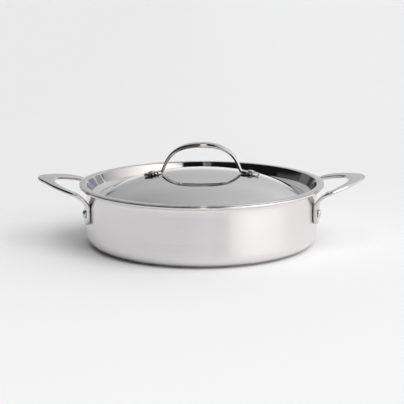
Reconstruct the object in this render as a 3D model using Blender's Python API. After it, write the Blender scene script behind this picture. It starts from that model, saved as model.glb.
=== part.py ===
"""Stainless-steel braiser: a shallow clad pot, two riveted loop handles and a domed lid.

The lid is carried by an arched handle, riveted through the dome at each end.
Metres, +Z up. The origin is the centre of the flat underside, on the surface that the pot stands on.
+X runs from handle to handle, and the lid is seated on the rim.
"""

import math

import bmesh
import bpy
from mathutils import Matrix, Vector
from mathutils.geometry import interpolate_bezier

# Clearances
FIT = 0.0003  # between two faces that are seated on each other
HOLE_CLEARANCE = 0.0003  # round a rivet's shank

# Pot
POT_RADIUS = 0.1354  # outside of the straight wall
POT_HEIGHT = 0.0715  # top of the flared rim
WALL = 0.0028  # clad sheet, the same all over
BASE_CORNER = 0.0145  # outer radius between base and wall
RIM_FLARE = 0.0054  # outer radius of the flare
RIM_LAND = 0.0022  # level edge beyond the flare
RIM_EDGE = 0.0010  # rounding of the rim's cut edge

# Lid
LID_SHEET = 0.0010
LIP_ROLL = 0.0022  # radius from the flat band on the rim into the cone
CONE_LEAN = math.radians(29.5)  # from upright
CONE_CLEARANCE = 0.00045  # between the cone and the inside of the flare
CHANNEL_DROP = 0.0115  # foot of the cone, down from the band
CHANNEL_FLOOR_INSET = 0.0066  # middle of the channel's floor, in from the foot of the cone
CHANNEL_FLOOR_DROP = 0.0040  # middle of the floor, down from the foot of the cone
CHANNEL_FILLET = 0.0030
DOME_FOOT_INSET = 0.0111  # where the dome starts, in from the foot of the cone
DOME_FOOT_DROP = 0.0032  # where the dome starts, down from the foot of the cone
DOME_RISE = 0.0253  # apex above the dome's start
DOME_CROWN_RADIUS = 0.707  # radius of curvature at the apex
DOME_FOOT_POWER = 4  # how late the dome tightens towards its foot

# Side handles
HANDLE_REACH = 0.0561  # outer edge of the end plate, out from the pot's wall
PLATE_DEPTH = 0.0205  # end plate, from the opening's edge to the outer edge
PLATE_TILT = math.radians(8.0)
PLATE_RISE = 0.0083  # top of the plate's outer edge, above the rim
ARM_WIDTH = 0.0120
ARM_NECK = 0.0104  # arm's width where it leaves the bend
ARM_THICKNESS = 0.0040
PLATE_CORNER = 0.0016  # softness of the opening's outer corners
PLATE_SHOULDER = 0.0220  # how far the plate's straight line carries into each arm
ARM_SWEEP = 0.0125  # how far the bend's line carries into the arm
BEND_DROP = 0.0195  # where the pad ends and the bend starts, below the rim
BEND_OUT = 0.0128  # end of the bend, out from the pad
BEND_SPREAD = 0.0050  # end of the bend, away from the middle
BEND_RISE = 0.0144
BEND_EASE = 0.0048
BEND_EXIT_SLOPE = math.radians(21.0)
PAD_HALF_SPACING = 0.0426
PAD_WIDTH = 0.0155
PAD_THICKNESS = 0.0044
PAD_LENGTH = 0.0214  # from its round end to the bend
STRAP_EDGE = 0.0017  # rounding of the strap's long edges
LEAST_CROSSING = 0.3  # bounds the plate's width where the arm runs outwards

# Lid handle
ARCH_TOP = 0.0353  # top of the arch above the dome's apex
ARCH_THICKNESS = 0.0047
ARCH_WIDTH = 0.0165
ARCH_SHOULDER = 0.0270  # how far the flat top carries out
LEG_HALF_SPAN = 0.0443  # middle of the leg, where it starts to turn out
LEG_RISE = 0.0066  # that point above the middle of the foot
LEG_LEAN = math.radians(20.0)  # from upright
LEG_EASE = 0.0190
LEG_THICKNESS = 0.0035
ANKLE_EASE = 0.62  # reach of the turn out of the foot, as a share of its length
HEEL_EASE = 0.55  # reach of the turn into the leg
NECK_WIDTH = 0.0085
NECK_TAPER = 1.6  # how early in the turn the foot narrows to the neck
FOOT_STANDOFF = 0.0135  # middle of the foot, out from the leg
FOOT_LENGTH = 0.0196
FOOT_WIDTH = 0.0140
FOOT_THICKNESS = 0.0033
ARCH_EDGE = 0.0020
EDGE_LIMIT = 0.45  # greatest rounding, as a share of a strap's width or thickness

# Rivets
SHANK_RADIUS = 0.0030
SIDE_RIVET_DROP = 0.0090  # below the start of the bend
SIDE_HEAD_RADIUS = 0.00465
SIDE_HEAD_RISE = 0.0030
LID_HEAD_RADIUS = 0.0040
LID_HEAD_RISE = 0.0016
INNER_HEAD_RADIUS = 0.0048
INNER_HEAD_RISE = 0.0013
HEAD_SHAPE = ((0, 1), (0.45, 0.93), (0.82, 0.62), (1, 0.2), (1, 0))  # shares of radius and rise
INNER_HEAD_SHAPE = ((1, 0), (1, 0.3), (0.6, 0.85), (0, 1))

# Facets
ROUND_STEPS = 60
RIVET_STEPS = 12
HOLE_STEPS = 16
DOME_STEPS = 6
DOME_STEP_EASE = 1.2  # above 1, the steps are closer at the dome's foot

FLARE_RADIUS = POT_RADIUS + RIM_FLARE  # centre of the flare's arc
FLARE_Z = POT_HEIGHT - WALL - RIM_FLARE
RIM_RADIUS = FLARE_RADIUS + RIM_LAND
BEND_Z = POT_HEIGHT - BEND_DROP
LIP_BOTTOM = POT_HEIGHT + FIT
LIP_TOP = LIP_BOTTOM + LID_SHEET
CONE_FOOT_Z = LIP_TOP - CHANNEL_DROP
CONE_REACH = RIM_FLARE + WALL + CONE_CLEARANCE + LID_SHEET  # cone's upper face from the flare's centre
CONE_AT_FLARE = FLARE_RADIUS - CONE_REACH / math.cos(CONE_LEAN)
LIP_INNER_RADIUS = CONE_AT_FLARE + (LIP_TOP - FLARE_Z) * math.tan(CONE_LEAN)
CHANNEL_RADIUS = CONE_AT_FLARE + (CONE_FOOT_Z - FLARE_Z) * math.tan(CONE_LEAN)
DOME_FOOT_RADIUS = CHANNEL_RADIUS - DOME_FOOT_INSET
DOME_FOOT_Z = CONE_FOOT_Z - DOME_FOOT_DROP
DOME_APEX_Z = DOME_FOOT_Z + DOME_RISE
FOOT_CENTRE = LEG_HALF_SPAN + FOOT_STANDOFF


def clear_scene():
    for obj in list(bpy.data.objects):
        bpy.data.objects.remove(obj, do_unlink=True)


def steel(name, grey, roughness):
    """A stainless finish with a slight cool cast."""
    material = bpy.data.materials.new(name)
    material.use_nodes = True
    shader = material.node_tree.nodes["Principled BSDF"]
    shader.inputs["Base Color"].default_value = (grey, grey, grey * 1.01, 1.0)
    shader.inputs["Metallic"].default_value = 1.0
    shader.inputs["Roughness"].default_value = roughness
    return material


def finish(mesh, material, sharp_angle=35.0):
    mesh.materials.append(material)
    mesh.shade_smooth()
    mesh.set_sharp_from_angle(angle=math.radians(sharp_angle))


def place(name, mesh):
    obj = bpy.data.objects.new(name, mesh)
    bpy.context.scene.collection.objects.link(obj)
    return obj


def arc(centre, radius, start, end, steps):
    """Points on a circle in the plane of radius and height, angles in degrees."""
    points = []
    for i in range(steps + 1):
        angle = math.radians(start + (end - start) * i / steps)
        points.append((centre[0] + radius * math.cos(angle), centre[1] + radius * math.sin(angle)))
    return points


def rounded(corners, steps=3):
    """A polyline of (radius, height, fillet) with each corner turned into an arc of its fillet."""
    points = [corners[0][:2]]
    for before, corner, after in zip(corners, corners[1:], corners[2:]):
        here = Vector(corner[:2])
        back = (Vector(before[:2]) - here).normalized()
        ahead = (Vector(after[:2]) - here).normalized()
        half = back.angle(ahead) / 2
        reach = corner[2] / math.tan(half)
        middle = here + (back + ahead).normalized() * corner[2] / math.sin(half)
        first = here + back * reach - middle
        last = here + ahead * reach - middle
        sweep = first.angle_signed(last)
        for i in range(steps + 1):
            turned = Matrix.Rotation(-sweep * i / steps, 2) @ first
            points.append(tuple(middle + turned))
    points.append(corners[-1][:2])
    return points


def offset(points, distance):
    """The same line moved sideways, to the left of its direction, by its points' mean normals."""
    moved = []
    for i, point in enumerate(points):
        before = Vector(points[max(i - 1, 0)])
        after = Vector(points[min(i + 1, len(points) - 1)])
        along = (after - before).normalized()
        moved.append((point[0] - along.y * distance, point[1] + along.x * distance))
    return moved


def revolve(name, profile, steps):
    """A solid of revolution about Z from a line that starts and ends on the axis."""
    bm = bmesh.new()
    verts = [bm.verts.new((radius, 0.0, height)) for radius, height in profile]
    edges = [bm.edges.new(pair) for pair in zip(verts, verts[1:])]
    bmesh.ops.spin(
        bm, geom=verts + edges, cent=(0, 0, 0), axis=(0, 0, 1), angle=2 * math.pi, steps=steps
    )
    bmesh.ops.remove_doubles(bm, verts=bm.verts, dist=1e-6)
    bmesh.ops.recalc_face_normals(bm, faces=bm.faces)
    mesh = bpy.data.meshes.new(name)
    bm.to_mesh(mesh)
    bm.free()
    return mesh


def strap_section(station, edge):
    """The rounded rectangle of one station, as points in space."""
    width, thickness = station["width"], station["thickness"]
    radius = min(edge, EDGE_LIMIT * width, EDGE_LIMIT * thickness)
    ring = []
    for quarter, (side_sign, face_sign) in enumerate(((1, 1), (-1, 1), (-1, -1), (1, -1))):
        for step in range(3):
            angle = math.radians(90 * quarter + 45 * step)
            across = side_sign * (width / 2 - radius) + radius * math.cos(angle)
            up = face_sign * (thickness / 2 - radius) + radius * math.sin(angle)
            point = station["centre"] + station["side"] * across + station["face"] * up
            ring.append(point - station["hug"] * across * across)
    return ring


def loft(name, stations, edge):
    """A closed strap through its stations."""
    bm = bmesh.new()
    rings = [[bm.verts.new(point) for point in strap_section(station, edge)] for station in stations]
    count = len(rings[0])
    for lower, upper in zip(rings, rings[1:]):
        for i in range(count):
            j = (i + 1) % count
            bm.faces.new((lower[i], lower[j], upper[j], upper[i]))
    bm.faces.new(rings[0])
    bm.faces.new(rings[-1])
    bmesh.ops.recalc_face_normals(bm, faces=bm.faces)
    mesh = bpy.data.meshes.new(name)
    bm.to_mesh(mesh)
    bm.free()
    return mesh


def stations_from(path, faces, widths, thicknesses, hugs=None):
    """Stations at each point of a path, whose face vectors are squared up to the path."""
    stations = []
    for i, centre in enumerate(path):
        along = (path[min(i + 1, len(path) - 1)] - path[max(i - 1, 0)]).normalized()
        face = (faces[i] - along * faces[i].dot(along)).normalized()
        stations.append(
            {
                "centre": centre,
                "side": along.cross(face),
                "face": face,
                "width": widths[i],
                "thickness": thicknesses[i],
                "hug": hugs[i] if hugs else Vector((0, 0, 0)),
            }
        )
    return stations


def mirrored(stations):
    """The whole strap from one half, whose last station lies in the plane of symmetry."""
    whole = list(stations)
    for station in reversed(stations[:-1]):
        twin = dict(station)
        for key in ("centre", "side", "face", "hug"):
            twin[key] = station["flip"] @ station[key]
        whole.append(twin)
    return whole


def smooth_step(t):
    t = min(max(t, 0.0), 1.0)
    return t * t * (3 - 2 * t)


def soft_larger(a, b, softness):
    """The larger of two lengths, rounded off where they are alike."""
    return (a + b + math.sqrt((a - b) ** 2 + softness**2)) / 2


def dome_height(radius):
    """Top of the lid's dome: a shallow crown that tightens towards its foot."""
    crown = radius**2 / (2 * DOME_CROWN_RADIUS)
    foot_crown = DOME_FOOT_RADIUS**2 / (2 * DOME_CROWN_RADIUS)
    return DOME_APEX_Z - crown - (DOME_RISE - foot_crown) * (radius / DOME_FOOT_RADIUS) ** DOME_FOOT_POWER


def dome_slope(radius):
    """Angle of the dome below level, going outwards."""
    step = 1e-4
    return math.atan2(dome_height(radius - step) - dome_height(radius + step), 2 * step)


def pot_profile():
    rim_bottom = POT_HEIGHT - WALL
    flare_centre = (FLARE_RADIUS, FLARE_Z)
    corner_centre = (POT_RADIUS - BASE_CORNER, BASE_CORNER)
    edge = RIM_EDGE
    outside = [(0.0, 0.0)]
    outside += arc(corner_centre, BASE_CORNER, -90, 0, 6)
    outside += arc(flare_centre, RIM_FLARE, 180, 90, 4)
    outside += arc((RIM_RADIUS - edge, rim_bottom + edge), edge, -90, 0, 1)
    inside = arc((RIM_RADIUS - edge, POT_HEIGHT - edge), edge, 0, 90, 1)
    inside += arc(flare_centre, RIM_FLARE + WALL, 90, 180, 5)
    inside += arc(corner_centre, BASE_CORNER - WALL, 0, -90, 4)
    inside += [(0.0, WALL)]
    return outside + inside


def lid_profile():
    floor_radius = CHANNEL_RADIUS - CHANNEL_FLOOR_INSET
    floor_z = CONE_FOOT_Z - CHANNEL_FLOOR_DROP
    top = rounded(
        [
            (RIM_RADIUS, LIP_TOP),
            (LIP_INNER_RADIUS, LIP_TOP, LIP_ROLL),
            (CHANNEL_RADIUS, CONE_FOOT_Z, CHANNEL_FILLET),
            (floor_radius, floor_z, CHANNEL_FILLET),
            (DOME_FOOT_RADIUS, DOME_FOOT_Z),
        ]
    )
    for i in range(1, DOME_STEPS):
        radius = DOME_FOOT_RADIUS * (1 - (i / DOME_STEPS) ** DOME_STEP_EASE)
        top.append((radius, dome_height(radius)))
    top.append((0.0, DOME_APEX_Z))
    under = offset(top, LID_SHEET)
    under[-1] = (0.0, DOME_APEX_Z - LID_SHEET)
    bevel = LID_SHEET / 4
    lip = [(RIM_RADIUS, LIP_TOP - bevel), (RIM_RADIUS, LIP_BOTTOM + bevel)]
    top[0] = (RIM_RADIUS - bevel, LIP_TOP)
    under[0] = (RIM_RADIUS - bevel, LIP_BOTTOM)
    return list(reversed(top)) + lip + under


def rivet_profile(grip, head_radius, head_rise):
    """A rivet along Z. Its outer head sits above zero, and its inner head below the grip."""
    head = [(out * head_radius, rise * head_rise) for out, rise in HEAD_SHAPE]
    shank = [(SHANK_RADIUS, 0.0), (SHANK_RADIUS, -grip)]
    tail = [(out * INNER_HEAD_RADIUS, -grip - rise * INNER_HEAD_RISE) for out, rise in INNER_HEAD_SHAPE]
    return head + shank + tail


def pad_azimuth():
    return math.asin(PAD_HALF_SPACING / (POT_RADIUS + FIT + PAD_THICKNESS / 2))


def side_handle_mesh():
    """The handle on the +X side: pad, bend and arm up to the middle of the plate, then mirrored."""
    azimuth = pad_azimuth()
    outward = Vector((math.cos(azimuth), math.sin(azimuth), 0))
    up = Vector((0, 0, 1))
    pad_centre = outward * (POT_RADIUS + FIT + PAD_THICKNESS / 2)
    path, faces, widths, thicknesses, hugs = [], [], [], [], []
    hug = outward / (2 * POT_RADIUS)  # bends the pad round the wall

    round_end = PAD_WIDTH / 2
    for degrees in (12, 35, 60, 90):
        turn = math.radians(degrees)
        path.append(pad_centre + up * (BEND_Z - PAD_LENGTH + round_end * (1 - math.cos(turn))))
        widths.append(PAD_WIDTH * math.sin(turn))
        faces.append(-outward)
        thicknesses.append(PAD_THICKNESS)
        hugs.append(hug)

    bend_start = pad_centre + up * BEND_Z
    bend_end = bend_start + Vector((BEND_OUT, BEND_SPREAD, BEND_RISE))
    run, climb = math.cos(BEND_EXIT_SLOPE), math.sin(BEND_EXIT_SLOPE)
    exit_line = Vector((run, 0, climb))
    bend_steps = 7
    leave = bend_start + up * BEND_EASE
    arrive = bend_end - exit_line * BEND_EASE
    bend = interpolate_bezier(bend_start, leave, arrive, bend_end, bend_steps + 1)
    arm_face = Vector((-climb, 0, run))
    for i, point in enumerate(bend):
        share = smooth_step(i / bend_steps)
        path.append(point)
        widths.append(PAD_WIDTH + (ARM_NECK - PAD_WIDTH) * share)
        faces.append((-outward).lerp(arm_face, share))
        thicknesses.append(PAD_THICKNESS + (ARM_THICKNESS - PAD_THICKNESS) * share)
        hugs.append(hug * (1 - share))

    plate_face = Vector((-math.sin(PLATE_TILT), 0, math.cos(PLATE_TILT)))
    plate_line = Vector((math.cos(PLATE_TILT), 0, math.sin(PLATE_TILT)))
    outer_edge = Vector((POT_RADIUS + HANDLE_REACH, 0, POT_HEIGHT + PLATE_RISE))
    tip = outer_edge - plate_line * PLATE_DEPTH / 2 - plate_face * ARM_THICKNESS / 2
    opening_end = outer_edge.x - PLATE_DEPTH * math.cos(PLATE_TILT)
    arm_steps = 13
    leave = bend_end + exit_line * ARM_SWEEP
    arrive = tip + Vector((0, PLATE_SHOULDER, 0))
    arm = interpolate_bezier(bend_end, leave, arrive, tip, arm_steps + 1)
    for i in range(1, arm_steps + 1):
        share = i / arm_steps
        before, after = arm[i - 1], arm[min(i + 1, arm_steps)]
        along = (after - before).normalized()
        side_x = abs(along.y) if i < arm_steps else 1.0
        arm_half = (ARM_NECK + (ARM_WIDTH - ARM_NECK) * smooth_step(2 * share)) / 2
        plate_half = (arm[i].x - opening_end) / max(side_x, LEAST_CROSSING)
        path.append(arm[i])
        widths.append(2 * soft_larger(arm_half, plate_half, PLATE_CORNER))
        faces.append(arm_face.lerp(plate_face, smooth_step(share)))
        thicknesses.append(ARM_THICKNESS)
        hugs.append(Vector((0, 0, 0)))

    half = stations_from(path, faces, widths, thicknesses, hugs)
    half[-1]["side"] = plate_line if half[-1]["side"].x > 0 else -plate_line
    half[-1]["width"] = PLATE_DEPTH
    flip = Matrix.Diagonal((1, -1, 1))
    for station in half:
        station["flip"] = flip
    return loft("side_handle", mirrored(half), STRAP_EDGE)


def lid_handle_mesh():
    """The arch from one foot to the middle of its top, and its mirror image."""
    slope = dome_slope(FOOT_CENTRE)
    foot_line = Vector((math.cos(slope), 0, -math.sin(slope)))
    foot_face = Vector((math.sin(slope), 0, math.cos(slope)))
    foot = Vector((FOOT_CENTRE, 0, dome_height(FOOT_CENTRE))) + foot_face * (FIT + FOOT_THICKNESS / 2)
    path, widths, thicknesses, faces = [], [], [], []

    for degrees in (10, 32, 58, 90, 115):
        turn = math.radians(degrees)
        path.append(foot + foot_line * FOOT_LENGTH / 2 * math.cos(turn))
        widths.append(FOOT_WIDTH * math.sin(turn))
        thicknesses.append(FOOT_THICKNESS)
        faces.append(foot_face)

    leg_bottom = Vector((LEG_HALF_SPAN, 0, foot.z + LEG_RISE))
    leg_line = Vector((math.sin(LEG_LEAN), 0, -math.cos(LEG_LEAN)))
    ankle = path[-1]
    ankle_width = widths[-1]
    reach = (leg_bottom - ankle).length
    turn_steps = 8
    leave = ankle - foot_line * reach * ANKLE_EASE
    arrive = leg_bottom + leg_line * reach * HEEL_EASE
    turn = interpolate_bezier(ankle, leave, arrive, leg_bottom, turn_steps + 1)
    outward = Vector((math.cos(LEG_LEAN), 0, math.sin(LEG_LEAN)))
    for i in range(1, turn_steps + 1):
        share = smooth_step(i / turn_steps)
        path.append(turn[i])
        widths.append(ankle_width + (NECK_WIDTH - ankle_width) * smooth_step(NECK_TAPER * i / turn_steps))
        thicknesses.append(FOOT_THICKNESS + (LEG_THICKNESS - FOOT_THICKNESS) * share)
        faces.append(foot_face.lerp(outward, share))

    top = Vector((0, 0, DOME_APEX_Z + ARCH_TOP - ARCH_THICKNESS / 2))
    arch_steps = 13
    leave = leg_bottom - leg_line * LEG_EASE
    arrive = top + Vector((ARCH_SHOULDER, 0, 0))
    arch = interpolate_bezier(leg_bottom, leave, arrive, top, arch_steps + 1)
    for i in range(1, arch_steps + 1):
        share = smooth_step(i / arch_steps)
        path.append(arch[i])
        widths.append(NECK_WIDTH + (ARCH_WIDTH - NECK_WIDTH) * share)
        thicknesses.append(LEG_THICKNESS + (ARCH_THICKNESS - LEG_THICKNESS) * share)
        faces.append(outward.lerp(Vector((0, 0, 1)), share))

    half = stations_from(path, faces, widths, thicknesses)
    half[-1]["side"] = Vector((0, math.copysign(1, half[-1]["side"].y), 0))
    flip = Matrix.Diagonal((-1, 1, 1))
    for station in half:
        station["flip"] = flip
    return loft("lid_handle", mirrored(half), ARCH_EDGE)


def cylinders(name, frames, radius, low, high):
    """Round cutters along the Z axis of each frame."""
    bm = bmesh.new()
    size = {"radius1": radius, "radius2": radius, "depth": high - low}
    for frame in frames:
        middle = frame @ Matrix.Translation((0, 0, (low + high) / 2))
        bmesh.ops.create_cone(bm, cap_ends=True, segments=HOLE_STEPS, matrix=middle, **size)
    mesh = bpy.data.meshes.new(name)
    bm.to_mesh(mesh)
    bm.free()
    cutter = place(name, mesh)
    cutter.hide_render = True
    cutter.display_type = "WIRE"
    return cutter


def cut(obj, cutter):
    modifier = obj.modifiers.new("rivet_holes", "BOOLEAN")
    modifier.operation = "DIFFERENCE"
    modifier.solver = "EXACT"
    modifier.object = cutter


def side_rivet_frames():
    """Where each side rivet's outer head is seated, with Z pointing away from the pot."""
    seat = POT_RADIUS + FIT + PAD_THICKNESS + FIT
    azimuth = pad_azimuth()
    angles = {
        "right_front": -azimuth,
        "right_rear": azimuth,
        "left_front": math.pi + azimuth,
        "left_rear": math.pi - azimuth,
    }
    lie_down = Matrix.Rotation(math.pi / 2, 4, "Y")
    lift = Matrix.Translation((0, 0, BEND_Z - SIDE_RIVET_DROP))
    frames = {}
    for corner, angle in angles.items():
        frames[corner] = lift @ Matrix.Rotation(angle, 4, "Z") @ Matrix.Translation((seat, 0, 0)) @ lie_down
    return frames


def lid_rivet_frames():
    """Where each lid rivet's outer head is seated on its foot, with Z square to the dome."""
    slope = dome_slope(FOOT_CENTRE)
    rise = FIT + FOOT_THICKNESS + FIT
    seat = Matrix.Translation((FOOT_CENTRE, 0, dome_height(FOOT_CENTRE))) @ Matrix.Rotation(slope, 4, "Y")
    right = seat @ Matrix.Translation((0, 0, rise))
    return {"right": right, "left": Matrix.Rotation(math.pi, 4, "Z") @ right}


def build_pot():
    mesh = revolve("pot_body", pot_profile(), ROUND_STEPS)
    finish(mesh, steel("pot_steel", 0.62, 0.28))
    return place("pot_body", mesh)


def build_side_handles():
    mesh = side_handle_mesh()
    finish(mesh, steel("side_handle_steel", 0.66, 0.18), 50.0)
    right = place("side_handle_right", mesh)
    left = place("side_handle_left", mesh)
    left.rotation_euler.z = math.pi
    return left, right


def build_side_rivets(frames):
    grip = FIT + PAD_THICKNESS + FIT + WALL + FIT
    mesh = revolve("side_rivet", rivet_profile(grip, SIDE_HEAD_RADIUS, SIDE_HEAD_RISE), RIVET_STEPS)
    finish(mesh, steel("side_rivet_steel", 0.66, 0.12), 50.0)
    for corner, frame in frames.items():
        place("side_rivet_" + corner, mesh).matrix_world = frame


def build_lid_shell():
    mesh = revolve("lid_shell", lid_profile(), ROUND_STEPS)
    finish(mesh, steel("lid_steel", 0.60, 0.06))
    return place("lid_shell", mesh)


def build_lid_handle():
    mesh = lid_handle_mesh()
    finish(mesh, steel("lid_handle_steel", 0.66, 0.10), 50.0)
    return place("lid_handle", mesh)


def build_lid_rivets(frames):
    grip = FIT + FOOT_THICKNESS + FIT + LID_SHEET + FIT
    mesh = revolve("lid_rivet", rivet_profile(grip, LID_HEAD_RADIUS, LID_HEAD_RISE), RIVET_STEPS)
    finish(mesh, steel("lid_rivet_steel", 0.66, 0.10), 50.0)
    rivets = []
    for side, frame in frames.items():
        rivet = place("lid_rivet_" + side, mesh)
        rivet.matrix_world = frame
        rivets.append(rivet)
    return rivets


def hang_on_lid_axis(pieces):
    """The lid's pieces under one empty, on the axis along which the lid lifts."""
    axis = bpy.data.objects.new("lid_axis", None)
    axis.location = (0, 0, LIP_BOTTOM)
    bpy.context.scene.collection.objects.link(axis)
    for piece in pieces:
        piece.parent = axis
        piece.matrix_parent_inverse = Matrix.Translation(axis.location).inverted()


def main():
    clear_scene()
    hole_radius = SHANK_RADIUS + HOLE_CLEARANCE
    through_side = FIT + PAD_THICKNESS + FIT + WALL
    side_frames = side_rivet_frames()
    side_cutter = cylinders(
        "side_rivet_holes", side_frames.values(), hole_radius, -2 * through_side, through_side / 2
    )
    pot = build_pot()
    cut(pot, side_cutter)
    for handle in build_side_handles():
        cut(handle, side_cutter)
    build_side_rivets(side_frames)

    through_lid = FIT + FOOT_THICKNESS + FIT + LID_SHEET
    lid_frames = lid_rivet_frames()
    lid_cutter = cylinders(
        "lid_rivet_holes", lid_frames.values(), hole_radius, -2 * through_lid, through_lid / 2
    )
    shell = build_lid_shell()
    handle = build_lid_handle()
    cut(shell, lid_cutter)
    cut(handle, lid_cutter)
    hang_on_lid_axis([shell, handle] + build_lid_rivets(lid_frames))


main()
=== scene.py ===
# %% [markdown]
# # A steel braiser and its lid
# This lesson dresses a CAD model of a shallow steel pan for a product picture. The solids give every place
# and size, and could be shown as they are. But polished steel is a mirror, and a mirror shows each flat facet of a
# coarse solid. So every piece is modelled again from the same sizes with finer curves, gets a finish built from
# nodes, and then stands in for its solid.

# %% Load the solids
import math
from collections import namedtuple

import bmesh
import bpy
from mathutils import Matrix, Vector
from mathutils.geometry import interpolate_bezier


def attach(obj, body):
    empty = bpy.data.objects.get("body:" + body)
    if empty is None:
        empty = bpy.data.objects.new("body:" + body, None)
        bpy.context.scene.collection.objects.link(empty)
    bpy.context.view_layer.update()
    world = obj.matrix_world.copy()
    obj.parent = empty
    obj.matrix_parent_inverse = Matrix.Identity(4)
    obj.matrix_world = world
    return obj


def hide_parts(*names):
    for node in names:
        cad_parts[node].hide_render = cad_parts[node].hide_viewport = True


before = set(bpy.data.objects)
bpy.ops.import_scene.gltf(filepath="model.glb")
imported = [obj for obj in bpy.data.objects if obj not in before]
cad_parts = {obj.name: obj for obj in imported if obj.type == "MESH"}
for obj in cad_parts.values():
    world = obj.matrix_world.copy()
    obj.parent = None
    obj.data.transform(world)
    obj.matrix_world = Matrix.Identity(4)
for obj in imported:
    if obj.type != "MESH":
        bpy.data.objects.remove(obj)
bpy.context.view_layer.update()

# %% [markdown]
# ## A clean start for every operator
# An operator acts on all that is selected, and the import leaves everything selected. So each new piece begins in
# object mode with nothing selected, and faces are picked in code by where they are and which way they look.

# %% Helpers for selecting
def begin():
    """Object mode, with nothing selected."""
    if bpy.context.mode != "OBJECT":
        bpy.ops.object.mode_set(mode="OBJECT")
    bpy.ops.object.select_all(action="DESELECT")


def take(piece):
    """Object mode, with one piece selected and active."""
    begin()
    bpy.context.view_layer.objects.active = piece
    piece.select_set(True)


def pick_faces(piece, wanted):
    """Selects the faces whose centre and normal pass a test, and returns how many there are."""
    shape = bmesh.from_edit_mesh(piece.data)
    count = 0
    for face in shape.faces:
        chosen = wanted(face.calc_center_median(), face.normal)
        face.select_set(chosen)
        count += chosen
    bmesh.update_edit_mesh(piece.data)
    return count


def apply_all(piece):
    """Turns every modifier of a piece into mesh."""
    take(piece)
    for modifier in list(piece.modifiers):
        bpy.ops.object.modifier_apply(modifier=modifier.name)


def smooth(piece, sharp_degrees):
    """Smooth shading, with a crease where two faces meet more sharply than the angle."""
    take(piece)
    bpy.ops.object.shade_smooth_by_angle(angle=math.radians(sharp_degrees))
    print(piece.name, len(piece.data.polygons), "faces")


# %% [markdown]
# ## Lines that are spun into round pieces
# The pan, the lid and the rivets are round. On a lathe or a press each is one outline turned about its axis. A curve
# with a Screw modifier could do that too. Here the outline is drawn by extruding a single point along it, and then
# spun, because each step is then an operator that can be tried by hand.

# %% Helpers for outlines
def arc(centre, radius, start, end, steps):
    """Points of a circular arc in the plane of radius and height, angles in degrees."""
    angles = [math.radians(start + (end - start) * i / steps) for i in range(steps + 1)]
    return [(centre[0] + radius * math.cos(a), centre[1] + radius * math.sin(a)) for a in angles]


def rounded(corners, steps):
    """A line of (radius, height, fillet) with an arc at each inner corner."""
    points = [corners[0][:2]]
    for before, corner, after in zip(corners, corners[1:], corners[2:]):
        here = Vector(corner[:2])
        back = (Vector(before[:2]) - here).normalized()
        ahead = (Vector(after[:2]) - here).normalized()
        half = back.angle(ahead) / 2
        middle = here + (back + ahead).normalized() * corner[2] / math.sin(half)
        reach = corner[2] / math.tan(half)
        first = here + back * reach - middle
        sweep = first.angle_signed(here + ahead * reach - middle)
        for i in range(steps + 1):
            points.append(tuple(middle + Matrix.Rotation(-sweep * i / steps, 2) @ first))
    points.append(corners[-1][:2])
    return points


def beside(points, distance):
    """The same line, moved to its left by a distance."""
    moved = []
    for i, point in enumerate(points):
        before, after = points[max(i - 1, 0)], points[min(i + 1, len(points) - 1)]
        along = (Vector(after) - Vector(before)).normalized()
        moved.append((point[0] - along.y * distance, point[1] + along.x * distance))
    return moved


# %% Helper that spins an outline
SAME_POINT = 1e-6


def spun(name, outline, steps):
    """A closed round piece about Z, from an outline that starts and ends on the axis."""
    begin()
    bpy.ops.mesh.primitive_plane_add(size=0.001)
    piece = bpy.context.object
    piece.name = name
    bpy.ops.object.mode_set(mode="EDIT")
    bpy.ops.mesh.select_mode(type="VERT")
    bpy.ops.mesh.select_all(action="SELECT")
    bpy.ops.mesh.merge(type="CENTER")
    bpy.ops.transform.translate(value=(outline[0][0], 0, outline[0][1]))
    for before, after in zip(outline, outline[1:]):
        step = (after[0] - before[0], 0, after[1] - before[1])
        bpy.ops.mesh.extrude_vertices_move(TRANSFORM_OT_translate={"value": step})
    bpy.ops.mesh.select_all(action="SELECT")
    bpy.ops.mesh.spin(steps=steps, angle=2 * math.pi, center=(0, 0, 0), axis=(0, 0, 1))
    bpy.ops.mesh.select_all(action="SELECT")
    bpy.ops.mesh.remove_doubles(threshold=SAME_POINT)
    bpy.ops.mesh.normals_make_consistent(inside=False)
    begin()
    return piece


# %% [markdown]
# ## Straps
# The handles are straps whose width, thickness and tilt change along their way. A curve with a bevel profile could
# follow the way, but its section would keep one shape. A smith draws such a bar out from one end, and so does this
# helper: a small rounded plate is the bar's cross-section, which is extruded a step, turned and stretched, then
# extruded again. Only half a handle is drawn, and a mirror makes the other half.

# %% Helpers for cross-sections
Section = namedtuple("Section", "centre face width thickness")
Station = namedtuple("Station", "centre axes width thickness")


def smooth_step(t):
    """Goes from 0 to 1, with a gentle start and end."""
    t = min(max(t, 0.0), 1.0)
    return t * t * (3 - 2 * t)


def blend(start, end, share):
    return start + (end - start) * share


def section_axes(face, along):
    """The width, the face and the way ahead of a cross-section, as columns."""
    return Matrix((face.cross(along), face, along)).transposed()


def squared(sections):
    """Turns each cross-section square to the line through all the centres."""
    stations = []
    for i, section in enumerate(sections):
        before = sections[max(i - 1, 0)].centre
        after = sections[min(i + 1, len(sections) - 1)].centre
        along = (after - before).normalized()
        face = (section.face - along * section.face.dot(along)).normalized()
        axes = section_axes(face, along)
        stations.append(Station(section.centre, axes, section.width, section.thickness))
    return stations


def from_the_middle(stations):
    """The same stations for a strap that is drawn from its middle to its tip."""
    turned = []
    for station in reversed(stations):
        side, face, along = station.axes.transposed()
        turned.append(station._replace(axes=Matrix((-side, face, -along)).transposed()))
    return turned


# %% Helpers that move a cross-section
def turn(rotation, centre):
    """Turns what is selected about a point. Without a window the operator counts angles the other way."""
    for axis, angle in zip("XYZ", rotation.to_euler("XYZ")):
        bpy.ops.transform.rotate(value=-angle, orient_axis=axis, center_override=centre)


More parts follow.
